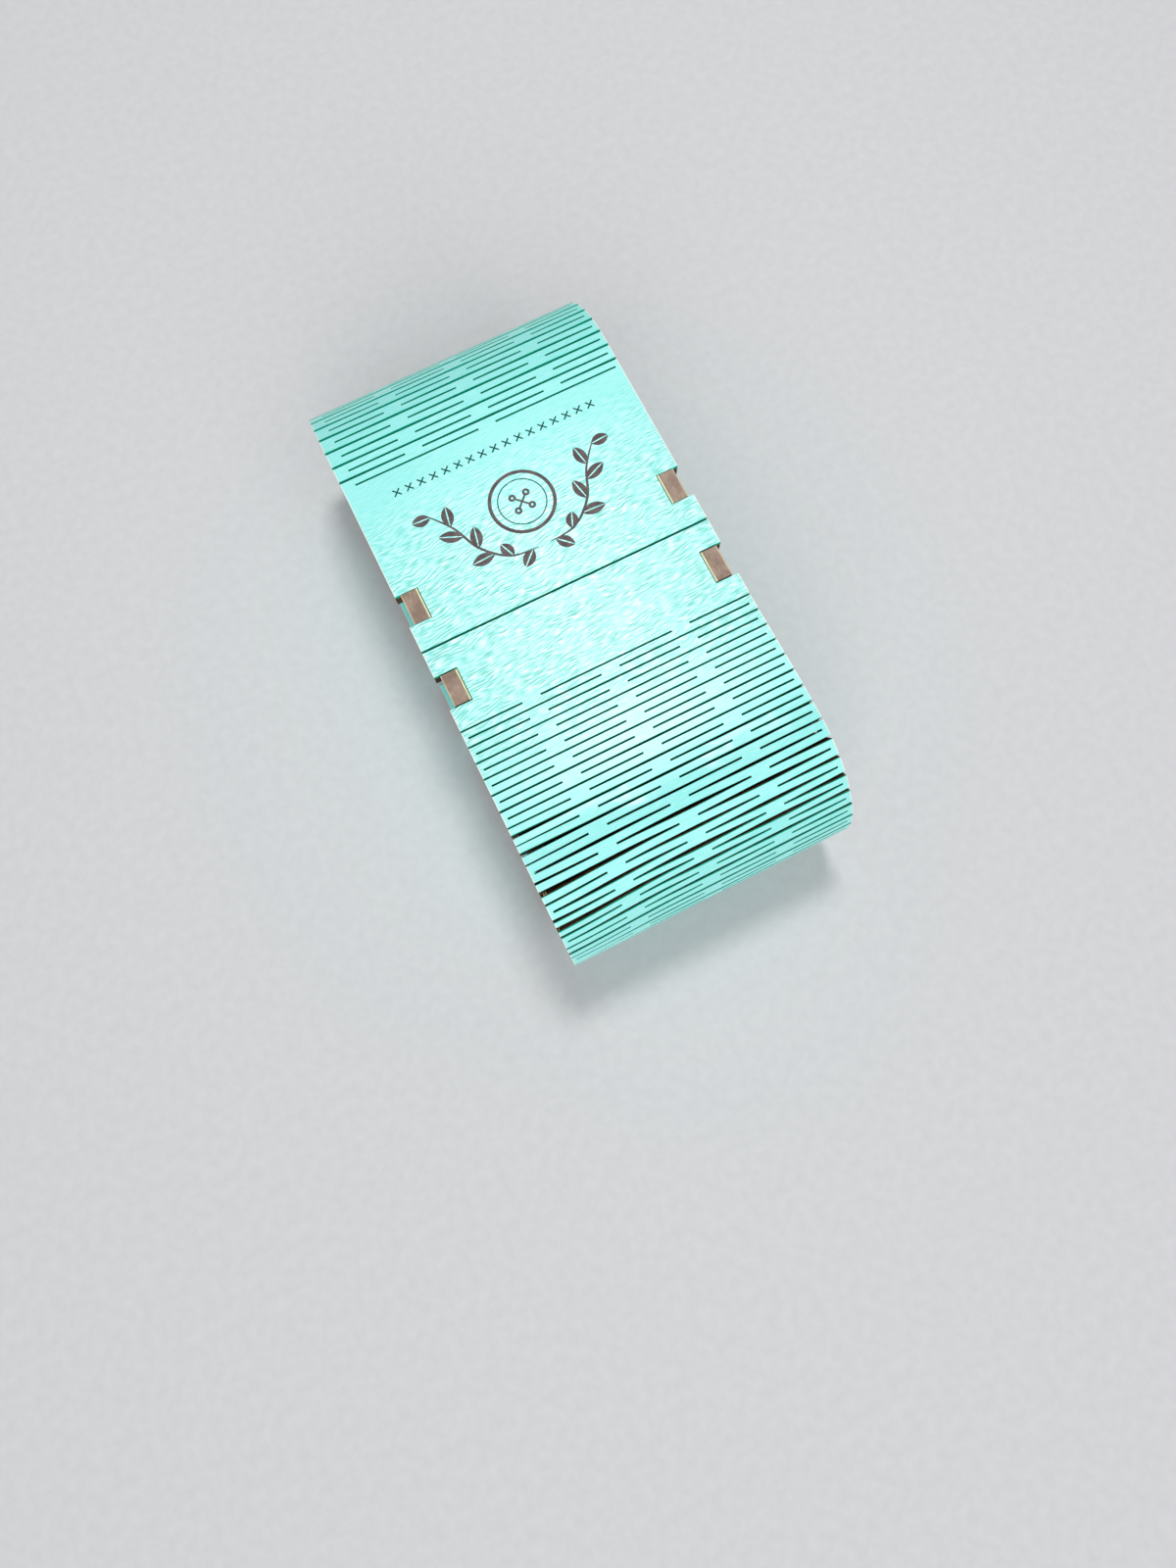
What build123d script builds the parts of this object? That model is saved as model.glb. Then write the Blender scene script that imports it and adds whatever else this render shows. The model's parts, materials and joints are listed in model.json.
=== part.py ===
"""Oval sewing box with a living-hinge lid, cut from thin board.

Two oval side plates stand on edge. One wide strip of board wraps right round them:
a rigid top panel, a slotted curve round the back end, a rigid base, and the lid,
which is slotted from the base's front edge, round the front end and over the top.
The strip's two ends meet in a seam across the middle of the top. Tabs on the side
plates stand in notches in the strip's edges.

X runs across the box, Y along it towards the back end, Z up. The origin is the middle
of the underside. Lengths are in millimetres, angles in radians unless a name says so.
"""
import os
from math import cos, pi, radians, sin

from build123d import *

os.makedirs("parts", exist_ok=True)

# Overall size and board
box_width = 53.2
box_length = 112.0
box_height = 35.0
board = 3.0

# Side plates, which stand inside the strip's edges
plate_inset = 1.0
plate_gap = 0.2
tab_start = 5.05
tab_length = 5.75
fixed_notch_gap = 0.1
lid_notch_gap = 0.25
notch_depth_gap = 0.15

# Seam between the lid's free edge and the top panel
seam_gap = 0.3

# Lattice of kerfs that lets the board bend
kerf_pitch = 1.5
kerf_width = 0.25
bridge_length = 3.3
lid_bridge_shift = -0.1
back_bridge_shift = 0.75

# The lid's kerfs start a little past its notches, and the back's a little before the bend.
# Both run on a little way underneath.
lid_panel_margin = 4.4
back_kerf_lead = 5.8
kerf_run_on = 6.0

# The slotted part of the lid arches a little above the flat, down to this angle of the bend
lid_bulge = 0.85
bulge_end_angle = 63.4

# The lid flexes at every second kerf row, from its panel down to this angle above the base
foot_angle = 30
hinge_gap = 0.02

# Derived sizes
half_width = box_width / 2
mid_radius = (box_height - board) / 2
half_flat = (box_length - box_height) / 2
half_strip = 2 * half_flat + pi * mid_radius
slat_width = kerf_pitch - kerf_width
lid_bridge_pitch = half_width + 0.8
back_bridge_pitch = half_width
lid_first_kerf = tab_start + tab_length + lid_panel_margin
back_first_kerf = half_flat - back_kerf_lead
last_kerf_limit = half_flat + pi * mid_radius + kerf_run_on
lid_bulge_length = half_flat - lid_first_kerf + mid_radius * radians(bulge_end_angle)
lid_side, back_side = -1, 1


def strip_frame(distance, side):
    """Point in the middle of the board's thickness, and the board's slope there.

    distance is measured along the strip from the seam, and side is -1 for the lid's
    half or 1 for the back half. The slope is 0 on top and pi underneath.
    """
    if distance < half_flat:
        out, up, slope = distance, box_height - board / 2, 0.0
    elif distance < half_flat + pi * mid_radius:
        slope = (distance - half_flat) / mid_radius
        out = half_flat + mid_radius * sin(slope)
        up = box_height / 2 + mid_radius * cos(slope)
    else:
        out, up, slope = half_strip - distance, board / 2, pi
    share = (distance - lid_first_kerf) / lid_bulge_length
    if side == lid_side and 0 < share < 1:
        lift = lid_bulge * sin(pi * share) ** 2
        out += lift * sin(slope)
        up += lift * cos(slope)
        slope -= lid_bulge * pi / lid_bulge_length * sin(2 * pi * share)
    return side * out, up, slope


def across_board(distance, side, along=0.0):
    """Outer and inner points of the board's thickness, a little way along its slope."""
    y, z, slope = strip_frame(distance, side)
    y += side * along * cos(slope)
    z -= along * sin(slope)
    normal_y, normal_z = side * sin(slope) * board / 2, cos(slope) * board / 2
    return (y + normal_y, z + normal_z), (y - normal_y, z - normal_z)


def between(first, second, share=0.5):
    """Point part of the way from one point to another."""
    return tuple(a + (b - a) * share for a, b in zip(first, second))


def slat_outline(row_distance, side):
    """Flat slat that follows the kerf row at row_distance, seen from the side."""
    middle = row_distance + kerf_pitch / 2
    outer_start, inner_start = across_board(middle, side, -slat_width / 2)
    outer_end, inner_end = across_board(middle, side, slat_width / 2)
    return outer_start, outer_end, inner_end, inner_start


def row_walls(row_distance, side, panel_before=False, panel_after=False):
    """The two walls of a kerf row, each as its outer and inner points."""
    if panel_before:
        wall_before = across_board(row_distance - kerf_width / 2, side)
    else:
        outline = slat_outline(row_distance - kerf_pitch, side)
        wall_before = outline[1], outline[2]
    if panel_after:
        wall_after = across_board(row_distance + kerf_width / 2, side)
    else:
        outline = slat_outline(row_distance, side)
        wall_after = outline[0], outline[3]
    return wall_before, wall_after


def bridge_outline(walls):
    """Web of board that crosses a kerf row from wall to wall."""
    (outer_before, inner_before), (outer_after, inner_after) = walls
    return outer_before, outer_after, inner_after, inner_before


def half_bridge_outline(walls, wall):
    """Part of a bridge that belongs to one wall, 0 or 1, of a row where the lid flexes."""
    share = half_share(walls)
    outer, inner = walls[wall]
    opposite_outer, opposite_inner = walls[1 - wall]
    return outer, between(outer, opposite_outer, share), between(inner, opposite_inner, share), inner


def half_share(walls):
    """Share of the row's width up to the running gap in its middle."""
    (y_before, z_before), (y_after, z_after) = walls[0][0], walls[1][0]
    width = ((y_after - y_before) ** 2 + (z_after - z_before) ** 2) ** 0.5
    return 0.5 - hinge_gap / 2 / width


def bridge_spans(centres):
    """Spans in X of the bridges with these centres, cut off at the strip's edges."""
    spans = [(x - bridge_length / 2, x + bridge_length / 2) for x in centres]
    return [(max(low, -half_width), min(high, half_width)) for low, high in spans]


def two_bridge_spans(pitch, shift):
    """Bridges of a row that is open at both edges of the strip."""
    return bridge_spans([shift - pitch / 2, shift + pitch / 2])


def three_bridge_spans(pitch, shift):
    """Bridges of a row with one bridge in the middle and a thin web at each edge."""
    return bridge_spans([shift - pitch, shift, shift + pitch])


def add_across(outlines, spans):
    """Extrude side-view outlines across the box over each span in X."""
    for low, high in spans:
        with BuildSketch(Plane.YZ.offset(low)) as side_view:
            for outline in outlines:
                with BuildLine():
                    Polyline(*outline, close=True)
                make_face()
        extrude(side_view.sketch, amount=high - low)


def cut_notches(sides, gap, z_middle):
    """Notches for the side plates' tabs in the edges of a flat panel."""
    depth = plate_inset + board + notch_depth_gap
    length = tab_length + 2 * gap
    x_middle = half_width - depth / 2
    for side in sides:
        y_middle = side * (tab_start + tab_length / 2)
        with Locations((-x_middle, y_middle, z_middle), (x_middle, y_middle, z_middle)):
            Box(depth, length, 2 * board, mode=Mode.SUBTRACT)


def kerf_rows(first_kerf, starts_webbed):
    """Distances of one half's kerf rows from the seam. The last row is always a webbed one."""
    count = int((last_kerf_limit - first_kerf) / kerf_pitch) + 1
    ends_webbed = (count % 2 == 1) == starts_webbed
    return [first_kerf + kerf_pitch * n for n in range(count if ends_webbed else count - 1)]


full_width = [(-half_width, half_width)]
lid_rows = kerf_rows(lid_first_kerf, starts_webbed=False)
back_rows = kerf_rows(back_first_kerf, starts_webbed=True)
lid_open_rows, lid_webbed_rows = lid_rows[0::2], lid_rows[1::2]
back_webbed_rows, back_open_rows = back_rows[0::2], back_rows[1::2]
lid_two = two_bridge_spans(lid_bridge_pitch, lid_bridge_shift)
lid_three = three_bridge_spans(lid_bridge_pitch, lid_bridge_shift)
back_two = two_bridge_spans(back_bridge_pitch, back_bridge_shift)
back_three = three_bridge_spans(back_bridge_pitch, back_bridge_shift)

# Rows where the lid flexes, from the fixed front curve up to the lid's panel
lowest_hinge = half_flat + mid_radius * (pi - radians(foot_angle))
hinge_rows = [row for row in lid_webbed_rows if row <= lowest_hinge][::-1]
moving_hinges = len(hinge_rows)
hinge_walls = [row_walls(row, lid_side) for row in hinge_rows]
hinge_lines = [between(walls[0][0], walls[1][0]) for walls in hinge_walls]

# Side plates: ovals with a pair of tabs on each long edge
rim_radius = box_height / 2 - board - plate_gap
plate_height = 2 * rim_radius
plate_x = half_width - plate_inset - board


def add_plate(x_low):
    """Oval plate with its tabs, one board's thickness from x_low upwards in X."""
    with BuildSketch(Plane.YZ.offset(x_low)) as side_view:
        with Locations((0, box_height / 2)):
            SlotCenterToCenter(2 * half_flat, plate_height)
        for side in (lid_side, back_side):
            with Locations((side * (tab_start + tab_length / 2), box_height / 2)):
                Rectangle(tab_length, box_height)
    extrude(side_view.sketch, amount=board)


with BuildPart() as left_plate:
    add_plate(-plate_x - board)
left_plate.part.label = "left_plate"
export_step(left_plate.part, "parts/left_plate.step")

with BuildPart() as right_plate:
    add_plate(plate_x)
right_plate.part.label = "right_plate"
export_step(right_plate.part, "parts/right_plate.step")

# Top panel: from the seam to the first kerf of the back curve
with BuildPart() as top_panel:
    panel_end = row_walls(back_rows[0], back_side, panel_before=True)
    outer_seam, inner_seam = across_board(seam_gap / 2, back_side)
    add_across([(outer_seam, panel_end[0][0], panel_end[0][1], inner_seam)], full_width)
    cut_notches([back_side], fixed_notch_gap, box_height - board / 2)
top_panel.part.label = "top_panel"
export_step(top_panel.part, "parts/top_panel.step")

# Base panel: between the last kerf of the back curve and the last kerf of the lid's half
with BuildPart() as base_panel:
    back_end = row_walls(back_rows[-1], back_side, panel_after=True)[1]
    front_end = row_walls(lid_rows[-1], lid_side, panel_after=True)[1]
    add_across([(back_end[0], front_end[0], front_end[1], back_end[1])], full_width)
    cut_notches([lid_side, back_side], fixed_notch_gap, board / 2)
base_panel.part.label = "base_panel"
export_step(base_panel.part, "parts/base_panel.step")

# Back curve: slats and bridges round the back end, joined to the top panel and the base
with BuildPart() as back_curve:
    add_across([slat_outline(row, back_side) for row in back_rows[:-1]], full_width)
    webbed = [
        bridge_outline(row_walls(row, back_side, row == back_rows[0], row == back_rows[-1]))
        for row in back_webbed_rows
    ]
    add_across(webbed, back_three)
    add_across([bridge_outline(row_walls(row, back_side)) for row in back_open_rows], back_two)
back_curve.part.label = "back_curve"
export_step(back_curve.part, "parts/back_curve.step")

# Front curve: the slats that stay down when the lid opens
with BuildPart() as front_curve:
    still_rows = [row for row in lid_rows if row >= hinge_rows[0]]
    add_across([slat_outline(row, lid_side) for row in still_rows[:-1]], full_width)
    webbed = [
        bridge_outline(row_walls(row, lid_side, panel_after=row == lid_rows[-1]))
        for row in still_rows[1:]
        if row in lid_webbed_rows
    ]
    add_across(webbed + [half_bridge_outline(hinge_walls[0], 1)], lid_three)
    crossings = [bridge_outline(row_walls(row, lid_side)) for row in still_rows if row in lid_open_rows]
    add_across(crossings, lid_two)
front_curve.part.label = "front_curve"
export_step(front_curve.part, "parts/front_curve.step")

# Lid links: two slats each, from one flexing row up to the next
for number in range(1, moving_hinges):
    lower_row, upper_row = hinge_rows[number - 1], hinge_rows[number]
    middle_row = lower_row - kerf_pitch
    with BuildPart() as lid_link:
        add_across([slat_outline(row, lid_side) for row in (upper_row, middle_row)], full_width)
        add_across([bridge_outline(row_walls(middle_row, lid_side))], lid_two)
        ends = [
            half_bridge_outline(hinge_walls[number - 1], 0),
            half_bridge_outline(hinge_walls[number], 1),
        ]
        add_across(ends, lid_three)
    lid_link.part.label = f"lid_link_{number:02d}"
    export_step(lid_link.part, f"parts/lid_link_{number:02d}.step")

# Lid panel: the rigid strip along the seam, and the first slat after it
with BuildPart() as lid_panel:
    panel_end = row_walls(lid_rows[0], lid_side, panel_before=True)
    outer_seam, inner_seam = across_board(seam_gap / 2, lid_side)
    panel = (outer_seam, panel_end[0][0], panel_end[0][1], inner_seam)
    add_across([panel, slat_outline(lid_rows[0], lid_side)], full_width)
    add_across([bridge_outline(panel_end)], lid_two)
    add_across([half_bridge_outline(hinge_walls[-1], 0)], lid_three)
    cut_notches([lid_side], lid_notch_gap, box_height - board / 2)
lid_panel.part.label = "lid_panel"
export_step(lid_panel.part, "parts/lid_panel.step")
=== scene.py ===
"""Oval sewing box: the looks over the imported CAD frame.

The strip that wraps round the box is rebuilt here from its kerf pattern, because a bent
slat twists between its bridges and so opens its kerfs into long lenses. Each CAD node of
the strip gets one board of that lattice, on the node's own body. Splinters stand at the
webs that have torn. The side plates keep their CAD shape and get new finishes. An
engraved design lies on the fixed half of the top.

Lengths are in millimetres until a mesh is made. X runs across the box, Y towards the back
end, Z up, from the middle of the underside.
"""

import json
import random
from math import atan2, cos, pi, radians, sin

import bmesh
import bpy
from mathutils import Matrix, Vector


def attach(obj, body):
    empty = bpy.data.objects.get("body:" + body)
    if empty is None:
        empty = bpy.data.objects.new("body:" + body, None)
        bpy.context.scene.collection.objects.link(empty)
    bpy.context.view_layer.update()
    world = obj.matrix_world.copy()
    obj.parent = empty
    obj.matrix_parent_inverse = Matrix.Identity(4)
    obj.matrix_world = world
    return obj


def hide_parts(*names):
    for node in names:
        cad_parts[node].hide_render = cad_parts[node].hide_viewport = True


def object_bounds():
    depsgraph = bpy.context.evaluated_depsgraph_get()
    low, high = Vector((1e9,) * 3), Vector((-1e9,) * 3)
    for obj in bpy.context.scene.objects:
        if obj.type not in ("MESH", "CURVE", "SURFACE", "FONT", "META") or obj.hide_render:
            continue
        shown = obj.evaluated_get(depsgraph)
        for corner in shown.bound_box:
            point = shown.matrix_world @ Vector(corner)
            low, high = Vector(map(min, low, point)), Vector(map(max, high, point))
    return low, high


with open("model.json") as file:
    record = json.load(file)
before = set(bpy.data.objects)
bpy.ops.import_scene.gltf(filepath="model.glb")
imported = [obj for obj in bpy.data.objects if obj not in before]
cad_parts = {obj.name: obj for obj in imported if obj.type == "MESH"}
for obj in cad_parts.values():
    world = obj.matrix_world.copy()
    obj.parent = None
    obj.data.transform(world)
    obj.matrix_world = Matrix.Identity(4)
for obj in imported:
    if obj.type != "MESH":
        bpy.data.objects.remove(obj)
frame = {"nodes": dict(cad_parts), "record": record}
cad_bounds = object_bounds()

mm = 0.001

# The strip's two halves, by the sign of Y
lid_side, back_side = -1, 1

# Sizes that the strip shares with the CAD part
box_width = 53.2
box_length = 112.0
box_height = 35.0
board = 3.0
seam_gap = 0.36
kerf_pitch = 1.5
bridge_length = 3.3
notch_depth = 4.15
tab_start = 5.05
tab_length = 5.75
fixed_notch_gap = 0.1
lid_notch_gap = 0.25
lid_first_kerf, lid_kerfs = 15.2, 54
back_first_kerf, back_kerfs = 32.7, 41
lid_bulge, lid_bulge_length = 0.85, 41.0
moving_hinges = 22
bridge_pitch = {lid_side: 27.4, back_side: 26.6}
bridge_shift = {lid_side: -0.1, back_side: 0.75}
half_width = box_width / 2
mid_radius = (box_height - board) / 2
half_flat = (box_length - box_height) / 2
half_strip = 2 * half_flat + pi * mid_radius

# Sizes of the finished surface. The film's edge has melted down to melted_depth, or less
# where the board's outer face lies further forward than its inner face by forward_lean
kerf_outside = 0.31
kerf_inside = 0.32
edge_bevel = 0.025
flex_gap = 0.01
melted_depth = 0.65
melted_depth_sprung = 0.25
forward_lean = 0.4
station_step = 2.4
sharp_angle = radians(25)


def strip_frame(distance, side):
    """Point in the middle of the board's thickness, and the board's slope there."""
    if distance < half_flat:
        out, up, slope = distance, box_height - board / 2, 0.0
    elif distance < half_flat + pi * mid_radius:
        slope = (distance - half_flat) / mid_radius
        out = half_flat + mid_radius * sin(slope)
        up = box_height / 2 + mid_radius * cos(slope)
    else:
        out, up, slope = half_strip - distance, board / 2, pi
    share = (distance - lid_first_kerf) / lid_bulge_length
    if side == lid_side and 0 < share < 1:
        lift = lid_bulge * sin(pi * share) ** 2
        out += lift * sin(slope)
        up += lift * cos(slope)
        slope -= lid_bulge * pi / lid_bulge_length * sin(2 * pi * share)
    return side * out, up, slope


def eased_slope(distance, side):
    """Slope averaged over a few rows, because the real board starts to bend gradually."""
    shares = {-4: 1, -2: 2, 0: 3, 2: 2, 4: 1}
    total = sum(strip_frame(distance + step, side)[2] * share for step, share in shares.items())
    return total / sum(shares.values())


def across(placed, side, along_outside, along_inside):
    """Outer and inner points of the board at a frame, moved along its slope."""
    y, z, slope = placed
    pair = []
    for along, half in ((along_outside, board / 2), (along_inside, -board / 2)):
        out = along * cos(slope) + half * sin(slope)
        pair.append(Vector((y + side * out, z - along * sin(slope) + half * cos(slope))))
    return pair


# Kerf rows of each half of the strip, counted from the seam: distance, and whether the
# row has thin webs at the strip's edges or is open there
rows = {
    lid_side: [(lid_first_kerf + kerf_pitch * n, n % 2 == 1) for n in range(lid_kerfs)],
    back_side: [(back_first_kerf + kerf_pitch * n, n % 2 == 0) for n in range(back_kerfs)],
}
hinge_rows = [n for n in range(lid_kerfs) if rows[lid_side][n][1]][:moving_hinges]

# Webs at the left edge that have torn, by row number on the lid's half, and how far the
# slats beside them have sprung away there
torn_webs = [13, 15, 19, 23, 27, 31]
torn_spread = 0.12

# How far the torn webs let the front curve's slats slide down at the left edge. By row
# number, the slide grows and then fades; across the strip it grows from slide_start out
torn_slide = 0.9
slide_grows = 12, 27
slide_fades = 29, 46
slide_start = 6

# How much wider some kerfs stand open between their bridges than an even bend gives
sprung_kerfs = {
    lid_side: {
        2: 0.04, 4: 0.02, 9: 0.03, 10: 0.04, 12: 0.05, 13: 0.06, 14: 0.05, 15: -0.02,
        16: -0.21, 17: -0.19, 18: -0.05, 20: -0.08, 21: 0.02, 22: 0.24, 23: 0.29, 24: 0.17,
        25: 0.13, 26: 0.13, 27: 0.05, 28: -0.04,
    },
    back_side: {
        1: 0.1, 3: -0.04, 4: -0.08, 5: -0.12, 6: -0.1, 7: -0.08, 8: -0.07, 9: -0.05, 10: -0.05,
    },
}


def bridges(side, webbed, torn=False):
    """Spans in X of one row's bridges."""
    pitch, shift = bridge_pitch[side], bridge_shift[side]
    steps = (-1, 0, 1) if webbed else (-0.5, 0.5)
    centres = [shift + pitch * step for step in steps]
    if torn:
        centres = centres[1:]
    spans = [(x - bridge_length / 2, x + bridge_length / 2) for x in centres]
    return [(max(low, -half_width), min(high, half_width)) for low, high in spans]


def web_share(x, side, torn):
    """How far a slat follows its webbed row at x, from 0 at the open row's bridges to 1 at its own."""
    spans = {1.0: bridges(side, True, torn), 0.0: bridges(side, False)}
    knots = sorted((edge, share) for share, pairs in spans.items() for span in pairs for edge in span)
    if x <= knots[0][0]:
        return knots[0][1]
    for (low, before), (high, after) in zip(knots, knots[1:]):
        if x <= high:
            return before + (after - before) * (x - low) / max(high - low, 1e-6)
    return knots[-1][1]


def smooth_step(value, low, high):
    """0 below low and 1 above high, with a smooth rise between them."""
    share = min(max((value - low) / (high - low), 0.0), 1.0)
    return share * share * (3 - 2 * share)


def slat_frame(row, side, x):
    """Middle and slope, at x, of the slat after a kerf row. It twists between its rows' bridges."""
    (before, webbed), (after, _) = rows[side][row], rows[side][row + 1]
    webbed_row = row if webbed else row + 1
    share = web_share(x, side, side == lid_side and webbed_row in torn_webs)
    ends = []
    for distance, step in ((before, kerf_pitch / 2), (after, -kerf_pitch / 2)):
        y, z, _ = strip_frame(distance, side)
        slope = eased_slope(distance, side)
        ends.append((y + side * step * cos(slope), z - step * sin(slope), slope))
    first_share = share if webbed else 1 - share
    y, z, slope = (a * first_share + b * (1 - first_share) for a, b in zip(*ends))
    slide = 0.0
    if side == lid_side:
        slide = torn_slide * smooth_step(row, *slide_grows)
        slide *= smooth_step(-row, -slide_fades[1], -slide_fades[0])
        slide *= smooth_step(-x, slide_start, half_width)
    if side == lid_side and webbed_row in torn_webs:
        last_bridge = bridges(side, False)[0][0]
        spread = torn_spread * max(0.0, (last_bridge - x) / (last_bridge + half_width))
        slide += spread if webbed else -spread
    return y + side * slide * cos(slope), z - slide * sin(slope), slope


def panel_line(distance, side):
    """Line across a rigid part of the strip."""
    return lambda x: across(strip_frame(distance, side), side, 0, 0)


def sprung(row, side, x):
    """How much further than an even bend gives a kerf stands open at x."""
    webbed = rows[side][row][1]
    share = web_share(x, side, side == lid_side and webbed and row in torn_webs)
    return sprung_kerfs[side].get(row, 0.0) * (1 - share if webbed else share)


def wall_line(row, side, after):
    """Wall of a kerf row: the one before it, or the one after it."""
    slat = row if after else row - 1
    if 0 <= slat < len(rows[side]) - 1:
        way = -1 if after else 1

        def place(x):
            half = (kerf_pitch - sprung(row, side, x)) / 2
            along = way * (half - kerf_outside / 2), way * (half - kerf_inside / 2)
            return across(slat_frame(slat, side, x), side, *along)

        return place
    reach = kerf_outside / 2 if after else -kerf_outside / 2
    return panel_line(rows[side][row][0] + reach, side)


def middle_line(row, side):
    """Line halfway between a kerf row's walls, where the lid flexes."""
    before, after = wall_line(row, side, False), wall_line(row, side, True)
    return lambda x: [(a + b) / 2 for a, b in zip(before(x), after(x))]


notch_spans = [(-half_width, -half_width + notch_depth), (half_width - notch_depth, half_width)]

# The strip from the seam round the lid's half to the base, and on round the back half to
# the seam again: lines across it, and between them bands with an owner and open spans
lines, bands = [panel_line(seam_gap / 2, lid_side)], []


def add_band(owner, line, holes=(), solids=None):
    """Band up to a line across the strip: whole but for holes, or open but for solids."""
    bands.append((owner, holes, solids))
    lines.append(line)


def add_row(side, row, owner_before, owner_after, outward=True):
    """Band or bands of one kerf row. outward is False where the strip is followed to the seam."""
    webbed = rows[side][row][1]
    solids = bridges(side, webbed, side == lid_side and row in torn_webs)
    if owner_before != owner_after:
        add_band(owner_before, middle_line(row, side), solids=solids)
    add_band(owner_after, wall_line(row, side, outward), solids=solids)


def notch_distances(gap):
    """Distances from the seam, or from the base's middle, of a notch's two ends."""
    return tab_start - gap, tab_start + tab_length + gap


def lid_owner(row):
    """Node that the slat after a kerf row of the lid's half belongs to."""
    passed = sum(1 for hinge in hinge_rows if hinge <= row)
    if passed == 0:
        return "lid_panel"
    return "front_curve" if passed == moving_hinges else f"lid_link_{moving_hinges - passed:02d}"


notch_near, notch_far = notch_distances(lid_notch_gap)
add_band("lid_panel", panel_line(notch_near, lid_side))
add_band("lid_panel", panel_line(notch_far, lid_side), holes=notch_spans)
add_band("lid_panel", wall_line(0, lid_side, False))
for row in range(lid_kerfs - 1):
    add_row(lid_side, row, lid_owner(row - 1), lid_owner(row))
    add_band(lid_owner(row), wall_line(row + 1, lid_side, False))
add_row(lid_side, lid_kerfs - 1, "front_curve", "front_curve")
notch_near, notch_far = notch_distances(fixed_notch_gap)
add_band("base_panel", panel_line(half_strip - notch_far, lid_side))
add_band("base_panel", panel_line(half_strip - notch_near, lid_side), holes=notch_spans)
add_band("base_panel", panel_line(half_strip - notch_near, back_side))
add_band("base_panel", panel_line(half_strip - notch_far, back_side), holes=notch_spans)
add_band("base_panel", wall_line(back_kerfs - 1, back_side, True))
for row in reversed(range(back_kerfs)):
    add_row(back_side, row, "back_curve", "back_curve", outward=False)
    if row:
        add_band("back_curve", wall_line(row - 1, back_side, True))
add_band("top_panel", panel_line(notch_far, back_side))
add_band("top_panel", panel_line(notch_near, back_side), holes=notch_spans)
add_band("top_panel", panel_line(seam_gap / 2, back_side))


def stations():
    """Places in X of the lattice's vertices: bridges' and notches' edges, and steps between."""
    edges = {-half_width, half_width}
    for side in (lid_side, back_side):
        for webbed in (True, False):
            for span in bridges(side, webbed):
                edges.update(span)
    for span in notch_spans:
        edges.update(span)
    edges = sorted(edges)
    spread = [edges[0]]
    for edge in edges[1:]:
        steps = max(1, round((edge - spread[-1]) / station_step))
        start = spread[-1]
        spread += [start + (edge - start) * n / steps for n in range(1, steps + 1)]
    return spread


columns = stations()


def is_solid(band, column):
    """Whether a cell on the strip has board."""
    _, holes, solids = bands[band]
    x = (columns[column] + columns[column + 1]) / 2
    if solids is not None:
        return any(low < x < high for low, high in solids)
    return not any(low < x < high for low, high in holes)


cells = range(len(columns) - 1)
solid = [[is_solid(band, column) for column in cells] for band in range(len(bands))]


def on_strip(band, column):
    """Whether a cell is in the strip, with board or without."""
    return 0 <= band < len(bands) and 0 <= column < len(columns) - 1


def solid_at(band, column):
    """Whether a cell on the strip or off it has board."""
    return on_strip(band, column) and solid[band][column]


points = [[line(x) for x in columns] for line in lines]

# Distance of each line along the strip from the lid's free edge
runs = [0.0]
for before, after in zip(points, points[1:]):
    runs.append(runs[-1] + (after[0][0] - before[0][0]).length)

bodies = frame["record"]["behaviour"]["bodies"]
node_bodies = {node: body for body, nodes in bodies.items() for node in nodes}


# Levels through the board, from its outer face to its inner one
OUTER, BEVEL_FOOT, MELTED, INNER = range(4)

# Material slots of a board
FILM, FILM_EDGE, CUT, EDGE = range(4)


def sign(value):
    """1, 0 or -1."""
    return (value > 0) - (value < 0)


def lattice_vertex(line, column, level, owner):
    """Place of one lattice vertex of an owner's board."""
    outer, inner = points[line][column]
    x = columns[column]
    if 0 < line < len(bands):
        before, after = bands[line - 1][0], bands[line][0]
        if node_bodies[before] != node_bodies[after]:
            # Two bodies' halves of a web meet here, and stand clear when the lid flexes
            own_side = points[line - 1 if owner == before else line + 1][column]
            clear = (own_side[0] - outer).normalized() * flex_gap / 2
            outer, inner = outer + clear, inner + clear
    if level == INNER:
        return Vector((x, *inner))
    # The front curve's kerfs stand open and show their charred walls higher up
    melted = melted_depth_sprung if outer.x - inner.x < -forward_lean else melted_depth
    depth = {OUTER: 0.0, BEVEL_FOOT: edge_bevel, MELTED: melted}[level]
    y, z = outer + (inner - outer) * depth / board
    if level == OUTER:
        # The bevel draws the vertex in from the open cells round it
        around = [[solid_at(line - 1 + b, column - 1 + c) for c in (0, 1)] for b in (0, 1)]
        along = sign(sum(around[1]) - sum(around[0]))
        sideways = sign(around[0][1] + around[1][1] - around[0][0] - around[1][0])
        if along:
            towards = points[line + along][column][0] - outer
            y, z = Vector((y, z)) + towards.normalized() * edge_bevel
        x += sideways * edge_bevel
    return Vector((x, y, z))


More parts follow.
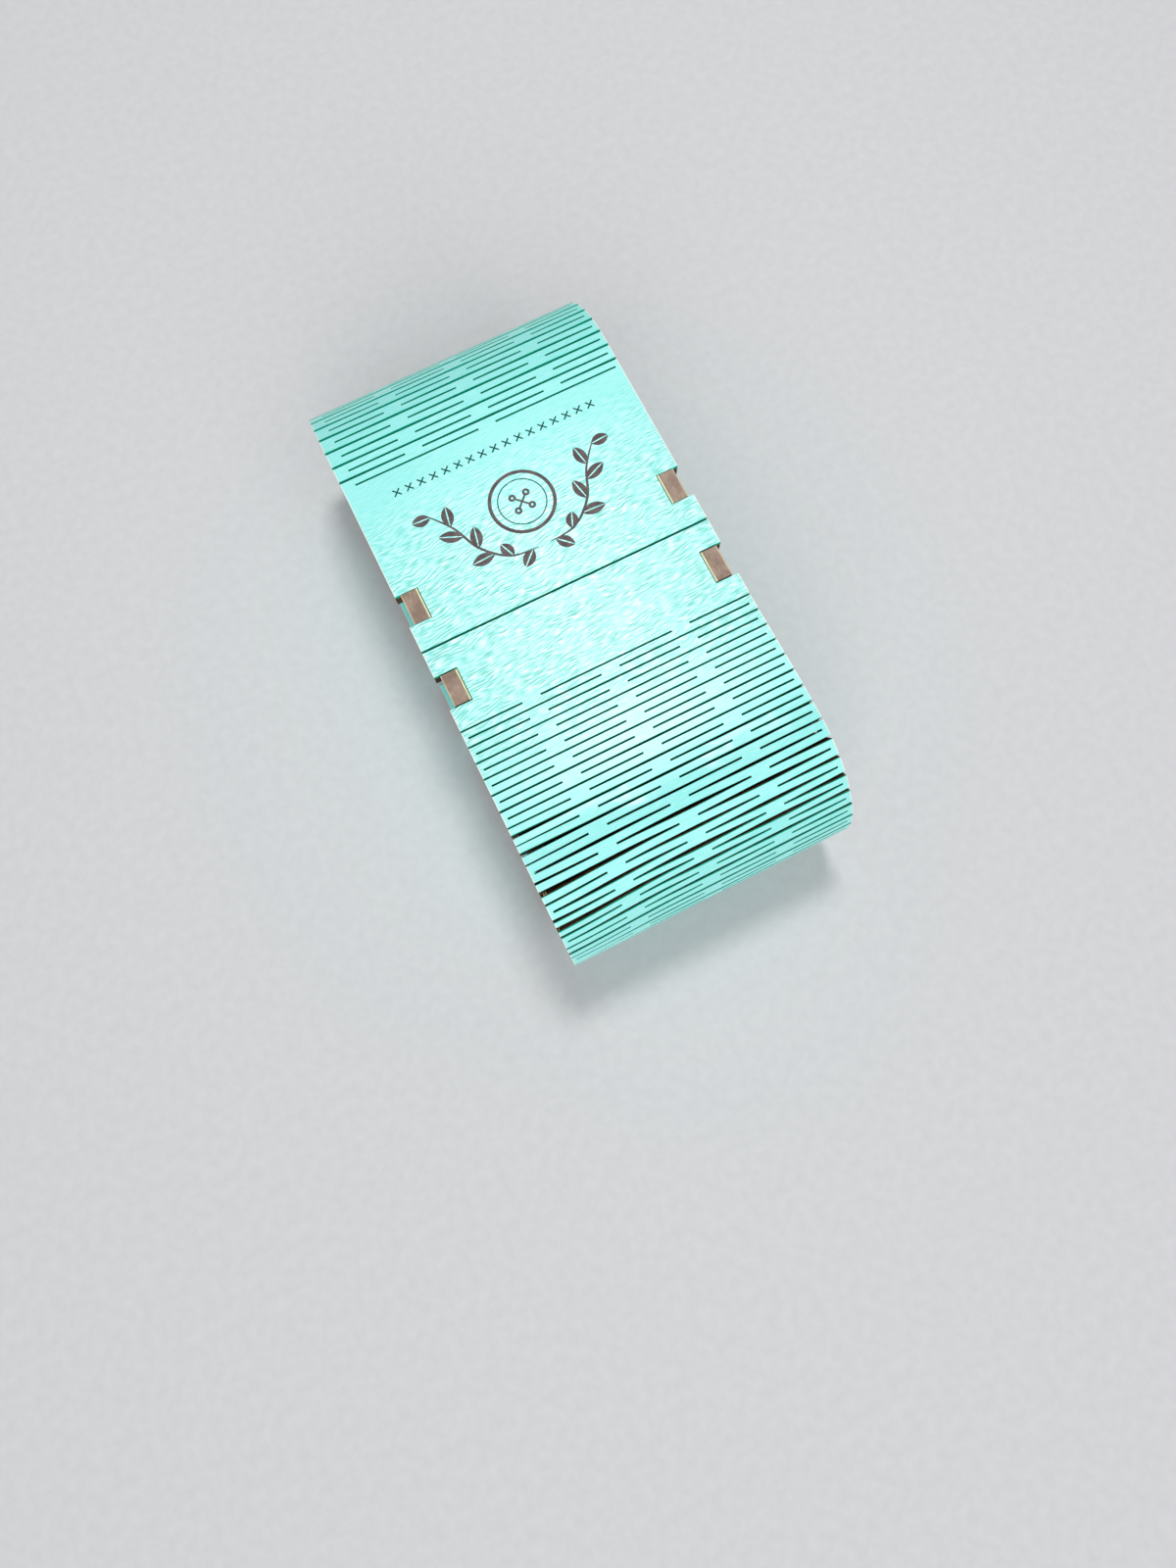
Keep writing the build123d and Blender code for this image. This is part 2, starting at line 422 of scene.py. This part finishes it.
def board_mesh(owner):
    """Closed mesh of one node's cells of the lattice."""
    shape = bmesh.new()
    made = {}

    def vertex(line, column, level):
        key = line, column, level
        if key not in made:
            place = lattice_vertex(line, column, level, owner) * mm
            held = [min(max(v, low), high) for v, low, high in zip(place, *cad_bounds)]
            made[key] = shape.verts.new(held)
        return made[key]

    def face(corners, material):
        made_face = shape.faces.new([vertex(*corner) for corner in corners])
        made_face.material_index = material

    for band, (band_owner, _, _) in enumerate(bands):
        if band_owner != owner:
            continue
        for column in range(len(columns) - 1):
            if not solid[band][column]:
                continue
            ring = [(band, column), (band, column + 1), (band + 1, column + 1), (band + 1, column)]
            face([(*corner, OUTER) for corner in ring], FILM)
            face([(*corner, INNER) for corner in reversed(ring)], FILM)
            neighbours = (band - 1, column), (band, column + 1), (band + 1, column), (band, column - 1)
            for edge, (next_band, next_column) in enumerate(neighbours):
                if solid_at(next_band, next_column) and bands[next_band][0] == owner:
                    continue
                first, second = ring[edge], ring[(edge + 1) % 4]
                # Walls 0 and 2 run across the strip, 1 and 3 along it
                # Kerf and notch walls take the darker charred copy, which carries painted shade; the
                # strip's side edges take the paler one
                bare = EDGE if edge % 2 and not on_strip(next_band, next_column) else CUT
                walls = (FILM_EDGE, FILM_EDGE, bare) if edge % 2 == 0 else (FILM, bare, bare)
                for upper, material in enumerate(walls):
                    lower = upper + 1
                    corners = (*second, upper), (*first, upper), (*first, lower), (*second, lower)
                    face(corners, material)
    bmesh.ops.recalc_face_normals(shape, faces=shape.faces)
    flat = shape.loops.layers.uv.new("strip")
    spots = {made[line, column, level]: (columns[column], runs[line]) for line, column, level in made}
    for made_face in shape.faces:
        for loop in made_face.loops:
            loop[flat].uv = spots[loop.vert]
    mesh = bpy.data.meshes.new(owner + "_board")
    shape.to_mesh(mesh)
    shape.free()
    mesh.set_sharp_from_angle(angle=sharp_angle)
    return mesh


class Recipe:
    """A material with its shader, and short calls that add its nodes.

    A value given to a call is a number, a colour or another node's socket.
    """

    def __init__(self, name):
        self.material = bpy.data.materials.new(name)
        self.material.use_nodes = True
        self.tree = self.material.node_tree
        self.shader = self.tree.nodes["Principled BSDF"]
        self.place = self.add("ShaderNodeTexCoord").outputs["Object"]

    def add(self, kind, inputs=None, **settings):
        """New node with its inputs and settings."""
        node = self.tree.nodes.new(kind)
        for key, value in settings.items():
            setattr(node, key, value)
        for key, value in (inputs or {}).items():
            self.put(node.inputs[key], value)
        return node

    def put(self, socket, value):
        """Links a socket to another node's, or sets its value."""
        if isinstance(value, bpy.types.NodeSocket):
            self.tree.links.new(value, socket)
        else:
            socket.default_value = value

    def noise(self, size, stretch=(1, 1, 1), detail=2.0):
        """Noise whose patches are about size mm across, longer where stretch is over 1."""
        inputs = {"Vector": self.place, "Scale": tuple(1 / s for s in stretch)}
        mapped = self.add("ShaderNodeMapping", inputs)
        inputs = {"Vector": mapped.outputs[0], "Scale": 1 / (size * mm), "Detail": detail}
        return self.add("ShaderNodeTexNoise", inputs).outputs["Fac"]

    def range(self, value, low, high, to_low=0.0, to_high=1.0):
        """Value moved from low..high to to_low..to_high, and held within them."""
        inputs = {"Value": value, "From Min": low, "From Max": high}
        inputs.update({"To Min": to_low, "To Max": to_high})
        return self.add("ShaderNodeMapRange", inputs, clamp=True).outputs[0]

    def mix(self, share, first, second):
        """Colour between two colours. A mix node keeps its colours in inputs 6 and 7."""
        node = self.add("ShaderNodeMix", data_type="RGBA")
        self.put(node.inputs[0], share)
        for socket, colour in ((6, first), (7, second)):
            is_socket = isinstance(colour, bpy.types.NodeSocket)
            self.put(node.inputs[socket], colour if is_socket else (*colour, 1))
        return node.outputs[2]

    def bump(self, height, distance, strength=1.0, after=None):
        """Normal of a surface that stands up to distance mm high, on top of another normal."""
        inputs = {"Height": height, "Distance": distance * mm, "Strength": strength}
        if after is not None:
            inputs["Normal"] = after
        return self.add("ShaderNodeBump", inputs).outputs[0]

    def math(self, operation, first, second=0.0):
        """Result of one sum."""
        node = self.add("ShaderNodeMath", operation=operation)
        self.put(node.inputs[0], first)
        self.put(node.inputs[1], second)
        return node.outputs[0]

    def finish(self, colour, roughness, normal=None, specular=0.5):
        """The material, with its shader filled in."""
        self.put(self.shader.inputs["Base Color"], colour)
        self.put(self.shader.inputs["Roughness"], roughness)
        self.shader.inputs["Specular IOR Level"].default_value = specular
        if normal is not None:
            self.put(self.shader.inputs["Normal"], normal)
        return self.material


# Where patchy noise runs from a material's first colour to its second
patchy = 0.35, 0.65

# Linear colours: the film, the painted glints on its ripples' crests and the painted shade
# in their troughs, the pale line along its side edges that is a painted highlight, and its
# melted edge; laser-cut board as a paler copy in the open and a darker charred copy on the
# walls inside the strip, which differ by painted light and shade; the plates' cut edges'
# rims, the inner one paler board with a painted highlight; torn fibres; engraved strokes,
# whose dark teal is painted shade for the grooves' walls; and the floor
film_cyan, film_mint = (0.305, 0.87, 0.825), (0.345, 0.89, 0.855)
painted_glint_colour, painted_dip_shade = (0.7, 0.96, 0.93), (0.17, 0.68, 0.58)
painted_edge_highlight = (0.8, 0.9, 0.82)
melted_green, melted_mint = (0.0, 0.4, 0.26), (0.002, 0.5, 0.34)
lit_scorch_brown, lit_scorch_tan, scorch_line = (0.27, 0.19, 0.145), (0.42, 0.31, 0.24), (0.2, 0.13, 0.1)
dark_scorch = (0.13, 0.075, 0.05)
shaded_char, shaded_brown, soot = (0.05, 0.028, 0.018), (0.16, 0.085, 0.045), (0.02, 0.012, 0.01)
pale_rim_and_highlight, outer_rim_colour = (0.85, 0.9, 0.52), (0.6, 0.48, 0.32)
fibre_brown, fibre_tan = (0.3, 0.18, 0.09), (0.6, 0.44, 0.26)
dark_groove_shade, pale_groove_shade = (0.0, 0.08, 0.065), (0.01, 0.13, 0.1)
dark_brown, pale_brown = (0.115, 0.085, 0.09), (0.175, 0.14, 0.135)
floor_grey, floor_pale = (0.63, 0.63, 0.64), (0.67, 0.67, 0.68)

# The film's ripples: how many to a millimetre, how much longer than broad they are, how
# many millimetres they stray, how much they tilt, how high they stand, how far from the
# seam they fade and to what share, and their share on the plates. The fade keeps their
# painted glints and painted trough shade near the seam, where the key light's glare falls
ripples_per_mm = 3.5
ripple_length = 7.0
ripple_stray = 1.3
ripple_tilt = 0.11
ripple_height = 0.09
ripple_fade = 12.0, 29.0
ripple_faintest = 0.15
plate_ripples = 0.3

# Breadth of the pale line painted along the strip's side edges as a highlight, and how ragged it is
edge_highlight_width = 0.06
edge_highlight_raggedness = 0.2


def film_coat(recipe, side_place, along_place, depth):
    """Colour, normal and roughness of the aqua film.

    Its fine wavy ripples lie along side_place and are depth strong; their crests carry a
    painted glint and their troughs painted shade, as strong as the ripples. Places are in mm.
    """
    cloud, wave = recipe.noise(9.0, detail=3.0), recipe.noise(4.0, detail=1.0)
    speck, lull = recipe.noise(0.12, detail=1.0), recipe.noise(3.5, detail=2.0)
    along = recipe.math("ADD", along_place, recipe.math("MULTIPLY", side_place, ripple_tilt))
    along = recipe.math("ADD", along, recipe.math("MULTIPLY", wave, ripple_stray))
    aside = recipe.math("DIVIDE", side_place, ripple_length)
    spot = recipe.add("ShaderNodeCombineXYZ", {"X": aside, "Y": along})
    inputs = {"Vector": spot.outputs[0], "Scale": ripples_per_mm, "Detail": 0.5}
    ripple = recipe.add("ShaderNodeTexNoise", inputs).outputs["Fac"]
    depth = recipe.math("MULTIPLY", recipe.range(lull, 0.35, 0.6, 0.55, 1.0), depth)
    # Ripple crests get a painted glint and troughs painted shade, both scaled by depth
    glint_share = recipe.math("MULTIPLY", recipe.range(ripple, 0.52, 0.6, 0.0, 0.85), depth)
    dip_shade_share = recipe.math("MULTIPLY", recipe.range(ripple, 0.48, 0.4, 0.0, 1.0), depth)
    base = recipe.mix(recipe.range(cloud, *patchy), film_cyan, film_mint)
    base = recipe.mix(glint_share, base, painted_glint_colour)
    base = recipe.mix(dip_shade_share, base, painted_dip_shade)
    normal = recipe.bump(recipe.math("MULTIPLY", ripple, depth), ripple_height)
    normal = recipe.bump(speck, 0.003, 0.6, after=normal)
    return base, normal, recipe.range(speck, 0.3, 0.7, 0.24, 0.34)


def film_material():
    """Satin aqua film on the strip, with its ripples and their painted glints and shade strongest
    beside the seam.
    """
    recipe = Recipe("aqua_film")
    strip_place = recipe.add("ShaderNodeUVMap", uv_map="strip").outputs[0]
    spot = recipe.add("ShaderNodeSeparateXYZ", {0: strip_place})
    x, run = spot.outputs["X"], spot.outputs["Y"]
    # The ripples, and their painted glints and shade with them, fade away from the seam, which keeps
    # these where the key light's glare falls
    to_seam = recipe.math("MINIMUM", run, recipe.math("SUBTRACT", runs[-1], run))
    depth = recipe.range(to_seam, *ripple_fade, 1.0, ripple_faintest)
    base, normal, roughness = film_coat(recipe, x, run, depth)
    # Paler line along the strip's two side edges: a painted highlight
    ragged = recipe.math("MULTIPLY", recipe.noise(0.12, detail=1.0), edge_highlight_raggedness)
    out = recipe.math("ADD", recipe.math("ABSOLUTE", x), ragged)
    edge_highlight_share = recipe.range(out, half_width - edge_highlight_width, half_width)
    base = recipe.mix(edge_highlight_share, base, painted_edge_highlight)
    return recipe.finish(base, roughness, normal)


def scorched(recipe, stretch):
    """Colour, grain and broad patches of a laser-cut edge in the open, a paler copy of the
    charred finish of walls inside the strip; the two differ by painted light and shade.

    It is tan to brown, with scorch lines through the board.
    """
    grain, wide = recipe.noise(0.35, stretch=stretch, detail=3.0), recipe.noise(2.5, detail=3.0)
    colour = recipe.mix(recipe.range(wide, *patchy), lit_scorch_brown, lit_scorch_tan)
    colour = recipe.mix(recipe.range(grain, 0.4, 0.7, 0.0, 0.5), colour, scorch_line)
    return colour, grain, wide


def edge_material():
    """Strip's outer cut edges."""
    recipe = Recipe("scorched_edge")
    colour, grain, wide = scorched(recipe, (1, 1, 4))
    colour = recipe.mix(recipe.range(wide, 0.4, 0.6, 0.25, 0.6), colour, dark_scorch)
    return recipe.finish(colour, 0.8, recipe.bump(grain, 0.04, 0.5), specular=0.25)


def film_edge_material():
    """Film's melted edge at the top of a laser cut: dark green."""
    recipe = Recipe("film_edge")
    patch = recipe.noise(0.6, detail=2.0)
    colour = recipe.mix(recipe.range(patch, *patchy), melted_green, melted_mint)
    return recipe.finish(colour, recipe.range(patch, 0.3, 0.7, 0.7, 0.85), specular=0.1)


def cut_material():
    """Charred wall of a laser cut inside the strip, brown with fine scorch lines, darker than the open
    edges as painted shade.
    """
    recipe = Recipe("shaded_char_cut")
    scorch = recipe.noise(0.35, stretch=(1, 1, 6), detail=3.0)
    patch = recipe.noise(3.0, detail=3.0)
    colour = recipe.mix(recipe.range(patch, *patchy), shaded_char, shaded_brown)
    colour = recipe.mix(recipe.range(scorch, 0.45, 0.65, 0.0, 0.7), colour, soot)
    return recipe.finish(colour, 0.8, recipe.bump(scorch, 0.05, 0.6), specular=0.2)


strip_finishes = film_material(), film_edge_material(), cut_material(), edge_material()

# One board of the lattice for each CAD node of the strip
for owner in dict.fromkeys(band[0] for band in bands):
    piece = bpy.data.objects.new(owner + "_board", board_mesh(owner))
    bpy.context.scene.collection.objects.link(piece)
    for material in strip_finishes:
        piece.data.materials.append(material)
    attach(piece, node_bodies[owner])
    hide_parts(owner)


def fibre_material():
    """Torn wood fibre, pale tan."""
    recipe = Recipe("torn_fibre")
    grain = recipe.noise(0.1, stretch=(1, 4, 1))
    return recipe.finish(recipe.mix(grain, fibre_brown, fibre_tan), 0.8, specular=0.2)


# Splinters at a torn web: their number, how far in from the strip's edge they stand, their
# depth as a share of the board, their length as a share of the kerf, half their breadth,
# how far their tips lean inwards, and how deep their roots go
splinter_count = 5
splinter_inset = 0.15, 1.0
splinter_depth = 0.1, 0.8
splinter_length = 0.45, 0.8
splinter_half = 0.06, 0.12
splinter_lean = 0.0, 0.2
splinter_root = 0.05

fibre = fibre_material()
chance = random.Random(7)
for row in torn_webs:
    # Splinters that stand out of the torn web's stub on the slat after the kerf
    shape = bmesh.new()
    wall, far_wall = wall_line(row, lid_side, True), wall_line(row, lid_side, False)
    for _ in range(splinter_count):
        x = -half_width + chance.uniform(*splinter_inset)
        depth = chance.uniform(*splinter_depth)
        root, tip = (near.lerp(deep, depth) for near, deep in (wall(x), far_wall(x)))
        reach = (tip - root) * chance.uniform(*splinter_length)
        along, thick = reach.normalized(), chance.uniform(*splinter_half)
        side_way = Vector((-along.y, along.x)) * thick
        ring = []
        for wide, high in ((-1, -1), (1, -1), (1, 1), (-1, 1)):
            corner = root - along * splinter_root + side_way * high
            ring.append(shape.verts.new(Vector((x + wide * thick, *corner)) * mm))
        point = shape.verts.new(Vector((x + chance.uniform(*splinter_lean), *(root + reach))) * mm)
        shape.faces.new(reversed(ring))
        for a, b in zip(ring, ring[1:] + ring[:1]):
            shape.faces.new((a, b, point))
    bmesh.ops.recalc_face_normals(shape, faces=shape.faces)
    mesh = bpy.data.meshes.new(f"torn_fibres_{row}")
    shape.to_mesh(mesh)
    shape.free()
    mesh.materials.append(fibre)
    piece = bpy.data.objects.new(mesh.name, mesh)
    bpy.context.scene.collection.objects.link(piece)
    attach(piece, node_bodies[lid_owner(row)])


# Where, in X, the bright rim of a plate's cut edge begins and is full on the plate's inner
# side, paler board with a painted highlight on it, and where the tan rim does on its outer
# side, and how far they waver, in metres
pale_rim_highlight_span = 0.02305, 0.02293
outer_rim_span = 0.0255, 0.02565
rim_waver = 0.0003

# How squarely a plate's surface must face X to be film
film_facing = 0.7


def plate_material():
    """Side plate: film on its faces, and scorched brown on its cut edges with paler rims, the inner
    one partly a painted highlight.
    """
    recipe = Recipe("side_plate")
    facing = recipe.add("ShaderNodeTexCoord").outputs["Normal"]
    normal = recipe.add("ShaderNodeSeparateXYZ", {"Vector": facing})
    flat = recipe.math("GREATER_THAN", recipe.math("ABSOLUTE", normal.outputs["X"]), film_facing)
    place = recipe.add("ShaderNodeSeparateXYZ", {"Vector": recipe.place})
    out = recipe.math("ABSOLUTE", place.outputs["X"])
    colour, grain, wide = scorched(recipe, (1, 3, 3))
    out = recipe.math("ADD", out, recipe.math("MULTIPLY", wide, rim_waver))
    # Inner rim: paler board with a painted highlight
    edge = recipe.mix(recipe.range(out, *pale_rim_highlight_span), colour, pale_rim_and_highlight)
    edge = recipe.mix(recipe.range(out, *outer_rim_span), edge, outer_rim_colour)
    side_place, along_place = (recipe.math("DIVIDE", place.outputs[axis], mm) for axis in "YZ")
    base, film_normal, film_roughness = film_coat(recipe, side_place, along_place, plate_ripples)
    # A mix node keeps its vectors in inputs 4 and 5, and its numbers in 2 and 3
    normal_in_use = recipe.add("ShaderNodeMix", data_type="VECTOR")
    recipe.put(normal_in_use.inputs[0], flat)
    recipe.put(normal_in_use.inputs[4], recipe.bump(grain, 0.02, 0.4))
    recipe.put(normal_in_use.inputs[5], film_normal)
    roughness = recipe.add("ShaderNodeMix")
    recipe.put(roughness.inputs[0], flat)
    recipe.put(roughness.inputs[2], 0.75)
    recipe.put(roughness.inputs[3], film_roughness)
    colour = recipe.mix(flat, edge, base)
    return recipe.finish(colour, roughness.outputs[0], normal_in_use.outputs[1], specular=0.4)


plate_finish = plate_material()
for name in ("left_plate", "right_plate"):
    node = frame["nodes"][name]
    node.data.materials.clear()
    node.data.materials.append(plate_finish)

# Engraved design on the fixed half of the top: a four-hole button between two leafy sprigs,
# with a border of cross stitches. The strokes lie flat in the top face; broad strokes are
# grey-brown with a dark teal rim, and narrow ones all dark teal, which is painted shade for
# the grooves' walls. Each stroke lies stroke_step above the one before, so that strokes
# that cross don't flicker.
rim_width = 0.07
broad_stroke = 0.2
thinnest_stroke = 0.02
groove_shade_rise, brown_rise = 0.004, 0.014
stroke_step = 0.0001
engraved_depth = 0.1
leaf_turn = radians(46)
leaf_width = 1.9
half_vein = 0.09
vein_bow = 0.27


def smooth_path(knots, steps=10):
    """Points on a smooth curve through knots."""
    knots = [Vector(knot) for knot in knots]
    ends = [knots[0], *knots, knots[-1]]
    path = []
    for a, b, c, d in zip(ends, ends[1:], ends[2:], ends[3:]):
        for step in range(steps):
            t = step / steps
            bend, twist = 2 * a - 5 * b + 4 * c - d, 3 * b - a - 3 * c + d
            path.append(0.5 * (2 * b + (c - a) * t + bend * t**2 + twist * t**3))
    return path + [knots[-1]]


def ring_path(centre, radius, count=64):
    """Points round a circle."""
    angles = [2 * pi * n / count for n in range(count)]
    return [Vector((centre[0] + radius * cos(a), centre[1] + radius * sin(a))) for a in angles]


class Engraving:
    """One mesh of flat closed strokes that lie in the top face."""

    def __init__(self, name, material, rise):
        self.name, self.material, self.rise = name, material, rise
        self.shape = bmesh.new()
        self.strokes = 0

    def outline(self, left, right, closed):
        """Closed prism between two rows of points."""
        self.strokes += 1
        top = box_height + self.rise + stroke_step * self.strokes
        foot = box_height - engraved_depth
        edges = []
        for side_points, height in ((left, top), (right, top), (right, foot), (left, foot)):
            places = [Vector((p.x, p.y, height)) * mm for p in side_points]
            edges.append([self.shape.verts.new(place) for place in places])
        count = len(left)
        for n in range(count if closed else count - 1):
            after = (n + 1) % count
            for a, b in zip(edges, edges[1:] + edges[:1]):
                self.shape.faces.new((a[n], a[after], b[after], b[n]))
        if not closed:
            for n in (0, -1):
                self.shape.faces.new([edge[n] for edge in edges])

    def stroke(self, path, widths, closed=False):
        """Ribbon along a path. widths is one width or a width for each point."""
        count = len(path)
        left, right = [], []
        for n, point in enumerate(path):
            before = path[(n - 1) % count] if closed or n else point
            after = path[(n + 1) % count] if closed or n < count - 1 else point
            normal = (after - before).normalized().orthogonal()
            half = (widths[n] if isinstance(widths, list) else widths) / 2
            left.append(point + normal * half)
            right.append(point - normal * half)
        self.outline(left, right, closed)

    def finish(self):
        """Turns the strokes into one piece on the root body."""
        bmesh.ops.recalc_face_normals(self.shape, faces=self.shape.faces)
        mesh = bpy.data.meshes.new(self.name)
        self.shape.to_mesh(mesh)
        self.shape.free()
        piece = bpy.data.objects.new(self.name, mesh)
        bpy.context.scene.collection.objects.link(piece)
        mesh.materials.append(self.material)
        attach(piece, "root")


def engraved_material(name, dark, pale):
    """Engraved stroke's finish with a faint grain: grey-brown for its bottom, and dark teal for the
    painted shade of its groove's walls.
    """
    recipe = Recipe(name)
    grain = recipe.noise(0.3, stretch=(3, 1, 1), detail=3.0)
    patch = recipe.noise(1.5, detail=2.0)
    colour = recipe.mix(recipe.range(patch, *patchy), dark, pale)
    darker = tuple(v * 0.6 for v in dark)
    colour = recipe.mix(recipe.range(grain, 0.5, 0.7, 0.0, 0.5), colour, darker)
    return recipe.finish(colour, 0.8, recipe.bump(grain, 0.03, 0.6), specular=0.15)


groove_shade_finish = engraved_material("engraved_groove_shade", dark_groove_shade, pale_groove_shade)
brown_finish = engraved_material("engraved_brown", dark_brown, pale_brown)
teal = Engraving("engraved_shaded_rims", groove_shade_finish, groove_shade_rise)
brown = Engraving("engraved_strokes", brown_finish, brown_rise)


def engrave(path, width, closed=False, tapered=False):
    """Draws one stroke: a dark teal rim of painted groove shade, and grey-brown inside it where it is
    broad enough.
    """
    count = len(path)
    taper = 0.6 if tapered else 0
    profile = [width * sin(pi * (n + 0.5) / count) ** taper for n in range(count)]
    teal.stroke(path, profile, closed)
    inside = [max(w - rim_width, thinnest_stroke) for w in profile]
    if max(inside) > broad_stroke:
        brown.stroke(path, inside, closed)


def engrave_leaf(root, heading, length):
    """Pointed leaf in two halves, with its vein left out as a bare line."""
    along = Vector((cos(heading), sin(heading)))
    aside = Vector((-along.y, along.x))
    steps = 9
    for side in (1, -1):
        path, profile = [], []
        for n in range(steps):
            t = n / (steps - 1)
            offset = leaf_width * vein_bow * sin(pi * t) + half_vein
            path.append(root + along * length * t + aside * side * offset)
            profile.append(max(leaf_width * 0.5 * sin(pi * n / (steps - 1)) ** 0.8, 0.05))
        teal.stroke(path, profile)
        brown.stroke(path, [max(w - rim_width, thinnest_stroke) for w in profile])


button = Vector((0.0, 17.0))
hole_offset, hole_radius = 1.3, 0.45
engrave(ring_path(button, 5.6), 0.62, closed=True)
engrave(ring_path(button, 4.2), 0.2, closed=True)
for hole_x in (-hole_offset, hole_offset):
    for hole_y in (-hole_offset, hole_offset):
        hole = (button.x + hole_x, button.y + hole_y)
        engrave(ring_path(hole, hole_radius, 20), 0.42, closed=True)

# One stem's knots, and its leaves: share of the stem, side of it, and length
stem_knots = [(1.0, 8.2), (6.0, 8.9), (10.2, 12.6), (12.6, 17.8), (16.2, 22.4)]
leaves = [
    (0.1, -1, 3.4), (0.25, 1, 3.0), (0.4, -1, 4.2), (0.53, 1, 4.0),
    (0.68, -1, 4.2), (0.82, 1, 3.8), (0.96, -1, 3.2),
]
thread_reach = 1.1
for flip in (-1, 1):
    arm = Vector((thread_reach, thread_reach * flip))
    engrave([button - arm, button + arm], 0.34)
    stem = smooth_path([(flip * x, y) for x, y in stem_knots])
    engrave(stem, 0.45, tapered=True)
    for share, out, length in leaves:
        at = int(share * (len(stem) - 2))
        direction = stem[at + 1] - stem[at]
        heading = atan2(direction.y, direction.x) + flip * out * leaf_turn
        engrave_leaf(stem[at], heading, length)

# Row of cross stitches
stitch_pitch, stitch_place, stitch_reach = 2.3, 28.2, 0.62
for n in range(-8, 9):
    centre = Vector((n * stitch_pitch, stitch_place))
    for flip in (-1, 1):
        arm = Vector((stitch_reach, stitch_reach * flip))
        engrave([centre - arm, centre + arm], 0.26)
teal.finish()
brown.finish()

# Floor, lights and camera
bpy.ops.mesh.primitive_plane_add(size=6.0)
floor = bpy.context.object
floor.name = "floor"
floor_recipe = Recipe("floor_matt")
floor_grain = floor_recipe.noise(2.0, detail=4.0)
floor_share = floor_recipe.range(floor_grain, 0.3, 0.7)
floor_colour = floor_recipe.mix(floor_share, floor_grey, floor_pale)
floor.data.materials.append(floor_recipe.finish(floor_colour, 0.8, specular=0.2))


def add_area_light(name, place, target, size, power):
    """Square light at a place, in metres, that faces a target."""
    light = bpy.data.lights.new(name, "AREA")
    light.shape = "SQUARE"
    light.size = size
    light.energy = power
    lamp = bpy.data.objects.new(name, light)
    lamp.location = place
    lamp.rotation_euler = (Vector(target) - Vector(place)).to_track_quat("-Z", "Y").to_euler()
    bpy.context.scene.collection.objects.link(lamp)


middle = (0, 0, 0.02)
add_area_light("key_softbox", (0.11, 0.22, 0.72), middle, 0.16, 2.4)
add_area_light("fill_softbox", (-0.25, -1.0, 0.86), middle, 1.5, 13.5)

world = bpy.data.worlds.new("studio")
bpy.context.scene.world = world
world.use_nodes = True
background = world.node_tree.nodes["Background"]
background.inputs["Color"].default_value = (0.9, 0.93, 0.95, 1)
background.inputs["Strength"].default_value = 0.32

# Camera fitted to the photo, which is frame_pixels high: its focal length in pixels, its
# place in mm, and its axes
frame_pixels, focal_pixels = 1600, 1059.6
camera_place = Vector((-24.87, -64.83, 197.42))
camera_data = bpy.data.cameras.new("camera")
camera_data.sensor_width = 36
camera_data.lens = 36 * focal_pixels / frame_pixels
camera_data.clip_start = 0.01
camera = bpy.data.objects.new("camera", camera_data)
bpy.context.scene.collection.objects.link(camera)
right = Vector((0.89529, -0.4451, -0.0182))
up = Vector((0.43859, 0.87357, 0.21097))
back = Vector((-0.07801, -0.19686, 0.97732))
rotation = Matrix((right, up, back)).transposed().to_4x4()
camera.matrix_world = Matrix.Translation(camera_place * mm) @ rotation
bpy.context.scene.camera = camera
bpy.context.scene.view_settings.view_transform = "Standard"
